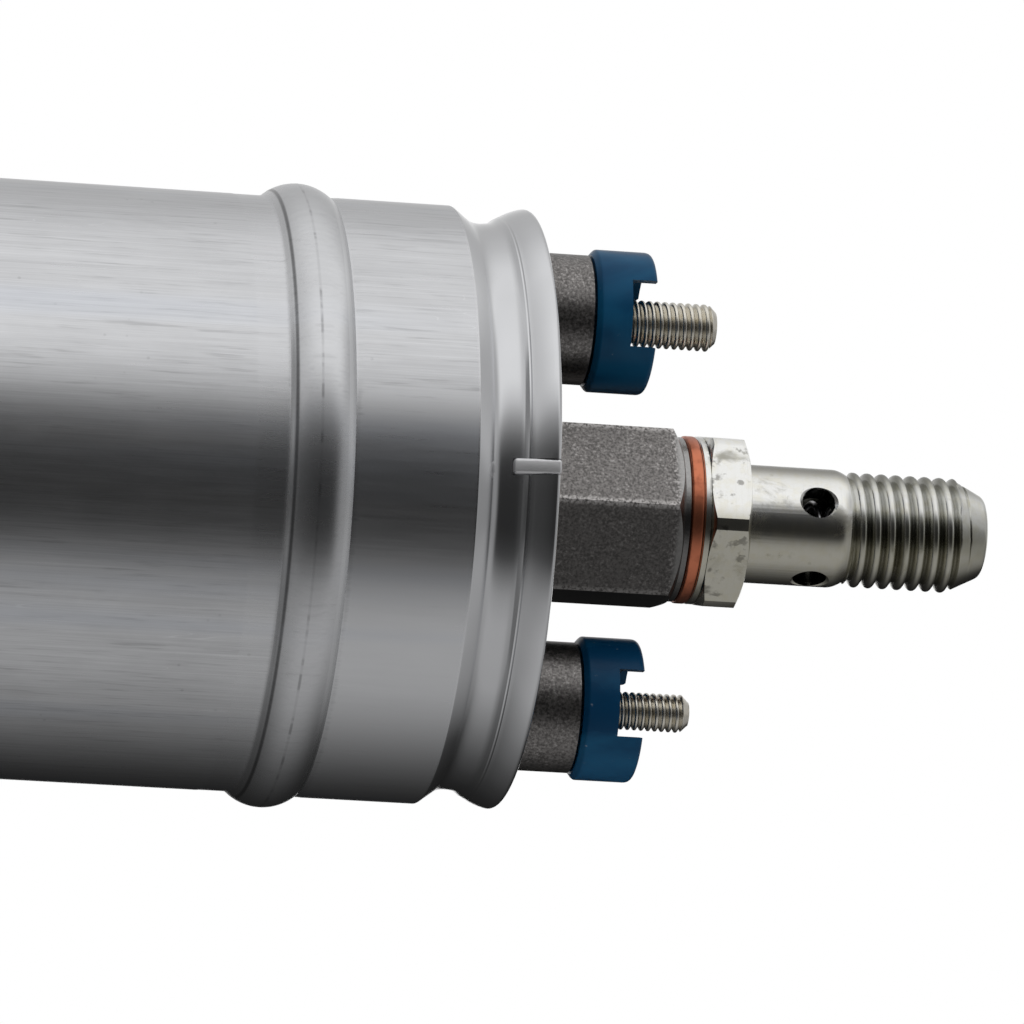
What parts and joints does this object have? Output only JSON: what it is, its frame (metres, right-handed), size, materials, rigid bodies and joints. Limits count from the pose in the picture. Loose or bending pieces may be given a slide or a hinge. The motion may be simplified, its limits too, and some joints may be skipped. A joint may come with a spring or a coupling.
{
  "type": "electric fuel pump",
  "caption": "Inline roller-cell electric fuel pump: aluminium tube with rolled beads and rims, insulated terminal studs and a threaded outlet check valve.",
  "frame": {"origin": "on the tube's axis, midway between the two bead rings, in the middle of the clamping length", "axes": "+X along the axis towards the outlet, +Z towards the larger terminal, -Y towards the locating key of the rim"},
  "size_m": [0.2005, 0.0628, 0.0628],
  "materials": {
    "body_aluminium": "brushed lengthwise",
    "cover_casting": "cast, dark, speckled",
    "blue_plastic": "semi-gloss",
    "stud_plating": "plated, warm",
    "valve_plating": "zinc plated, milled",
    "copper": "satin copper",
    "seal_rubber": "matte",
    "black_plastic": "matte",
    "spring_steel": "bright",
    "machined_steel": "ground",
    "flux_steel": "grey phosphate",
    "magnet_ferrite": "sintered ferrite",
    "winding_enamel": "enamelled copper wire",
    "carbon": "carbon brush",
    "bush_bronze": "sintered bronze"
  },
  "bodies": {
    "pump_body": {"housing_tube": "body_aluminium", "outlet_cover": "cover_casting", "outlet_cover_seal": "seal_rubber", "positive_insulator": "blue_plastic", "negative_insulator": "blue_plastic", "positive_inner_insulator": "blue_plastic", "negative_inner_insulator": "blue_plastic", "positive_stud_seal": "seal_rubber", "negative_stud_seal": "seal_rubber", "positive_stud": "stud_plating", "negative_stud": "stud_plating", "outlet_washer": "copper", "check_valve_body": "valve_plating", "check_valve_seat": "bush_bronze", "check_valve_spring": "spring_steel", "brush_holder": "black_plastic", "positive_brush_spring": "spring_steel", "negative_brush_spring": "spring_steel", "positive_brush_lead": "copper", "negative_brush_lead": "copper", "positive_contact_strip": "bush_bronze", "negative_contact_strip": "bush_bronze", "flux_ring": "flux_steel", "front_magnet": "magnet_ferrite", "rear_magnet": "magnet_ferrite", "upper_magnet_clip": "spring_steel", "lower_magnet_clip": "spring_steel", "outlet_bush": "bush_bronze", "cam_ring": "machined_steel", "pressure_plate": "machined_steel", "intake_plate": "machined_steel", "upper_stack_screw": "machined_steel", "lower_stack_screw": "machined_steel", "relief_spring": "spring_steel", "inlet_cover": "cover_casting", "inlet_cover_seal": "seal_rubber", "inlet_bush": "bush_bronze", "inlet_strainer": "spring_steel"},
    "armature": {"armature_shaft": "machined_steel", "armature_core": "machined_steel", "armature_windings": "winding_enamel", "commutator_bars": "copper", "commutator_hub": "black_plastic", "retaining_ring": "machined_steel", "thrust_washer": "machined_steel", "drive_coupling": "machined_steel", "pump_rotor": "machined_steel"},
    "valve_ball": {"check_valve_ball": "spring_steel"},
    "brush_rear": {"positive_brush": "carbon"},
    "brush_front": {"negative_brush": "carbon"},
    "relief": {"relief_ball": "spring_steel"},
    "roller_1_body": {"roller_1": "machined_steel"},
    "roller_2_body": {"roller_2": "machined_steel"},
    "roller_3_body": {"roller_3": "machined_steel"},
    "roller_4_body": {"roller_4": "machined_steel"},
    "roller_5_body": {"roller_5": "machined_steel"}
  },
  "joints": [
    {"name": "armature_spin", "type": "hinge", "parent": "pump_body", "child": "armature", "pos_m": [0, 0, 0], "axis": [1, 0, 0], "continuous": true},
    {"name": "valve_ball_lift", "type": "slide", "parent": "pump_body", "child": "valve_ball", "axis": [1, 0, 0], "range_m": [0, 0.002], "stiffness_N_per_m": 300, "springref_m": -0.003, "deforming": ["check_valve_spring"]},
    {"name": "brush_rear_slide", "type": "slide", "parent": "pump_body", "child": "brush_rear", "axis": [0, 1, 0], "range_m": [0, 0.002], "stiffness_N_per_m": 500, "springref_m": -0.006, "deforming": ["positive_brush_spring", "positive_brush_lead"]},
    {"name": "brush_front_slide", "type": "slide", "parent": "pump_body", "child": "brush_front", "axis": [0, -1, 0], "range_m": [0, 0.002], "stiffness_N_per_m": 500, "springref_m": -0.006, "deforming": ["negative_brush_spring", "negative_brush_lead"]},
    {"name": "relief_ball_lift", "type": "slide", "parent": "pump_body", "child": "relief", "axis": [-1, 0, 0], "range_m": [0, 0.0012], "stiffness_N_per_m": 2000, "springref_m": -0.003, "deforming": ["relief_spring"]},
    {"name": "roller_1_slide", "type": "slide", "parent": "armature", "child": "roller_1_body", "axis": [0, 0, 1], "range_m": [0, 0.00066]},
    {"name": "roller_2_slide", "type": "slide", "parent": "armature", "child": "roller_2_body", "axis": [0, -0.9511, 0.309], "range_m": [0, 0.00072]},
    {"name": "roller_3_slide", "type": "slide", "parent": "armature", "child": "roller_3_body", "axis": [0, -0.5878, -0.809], "range_m": [0, 0.00118]},
    {"name": "roller_4_slide", "type": "slide", "parent": "armature", "child": "roller_4_body", "axis": [0, 0.5878, -0.809], "range_m": [0, 0.00118]},
    {"name": "roller_5_slide", "type": "slide", "parent": "armature", "child": "roller_5_body", "axis": [0, 0.9511, 0.309], "range_m": [0, 0.00072]}
  ]
}
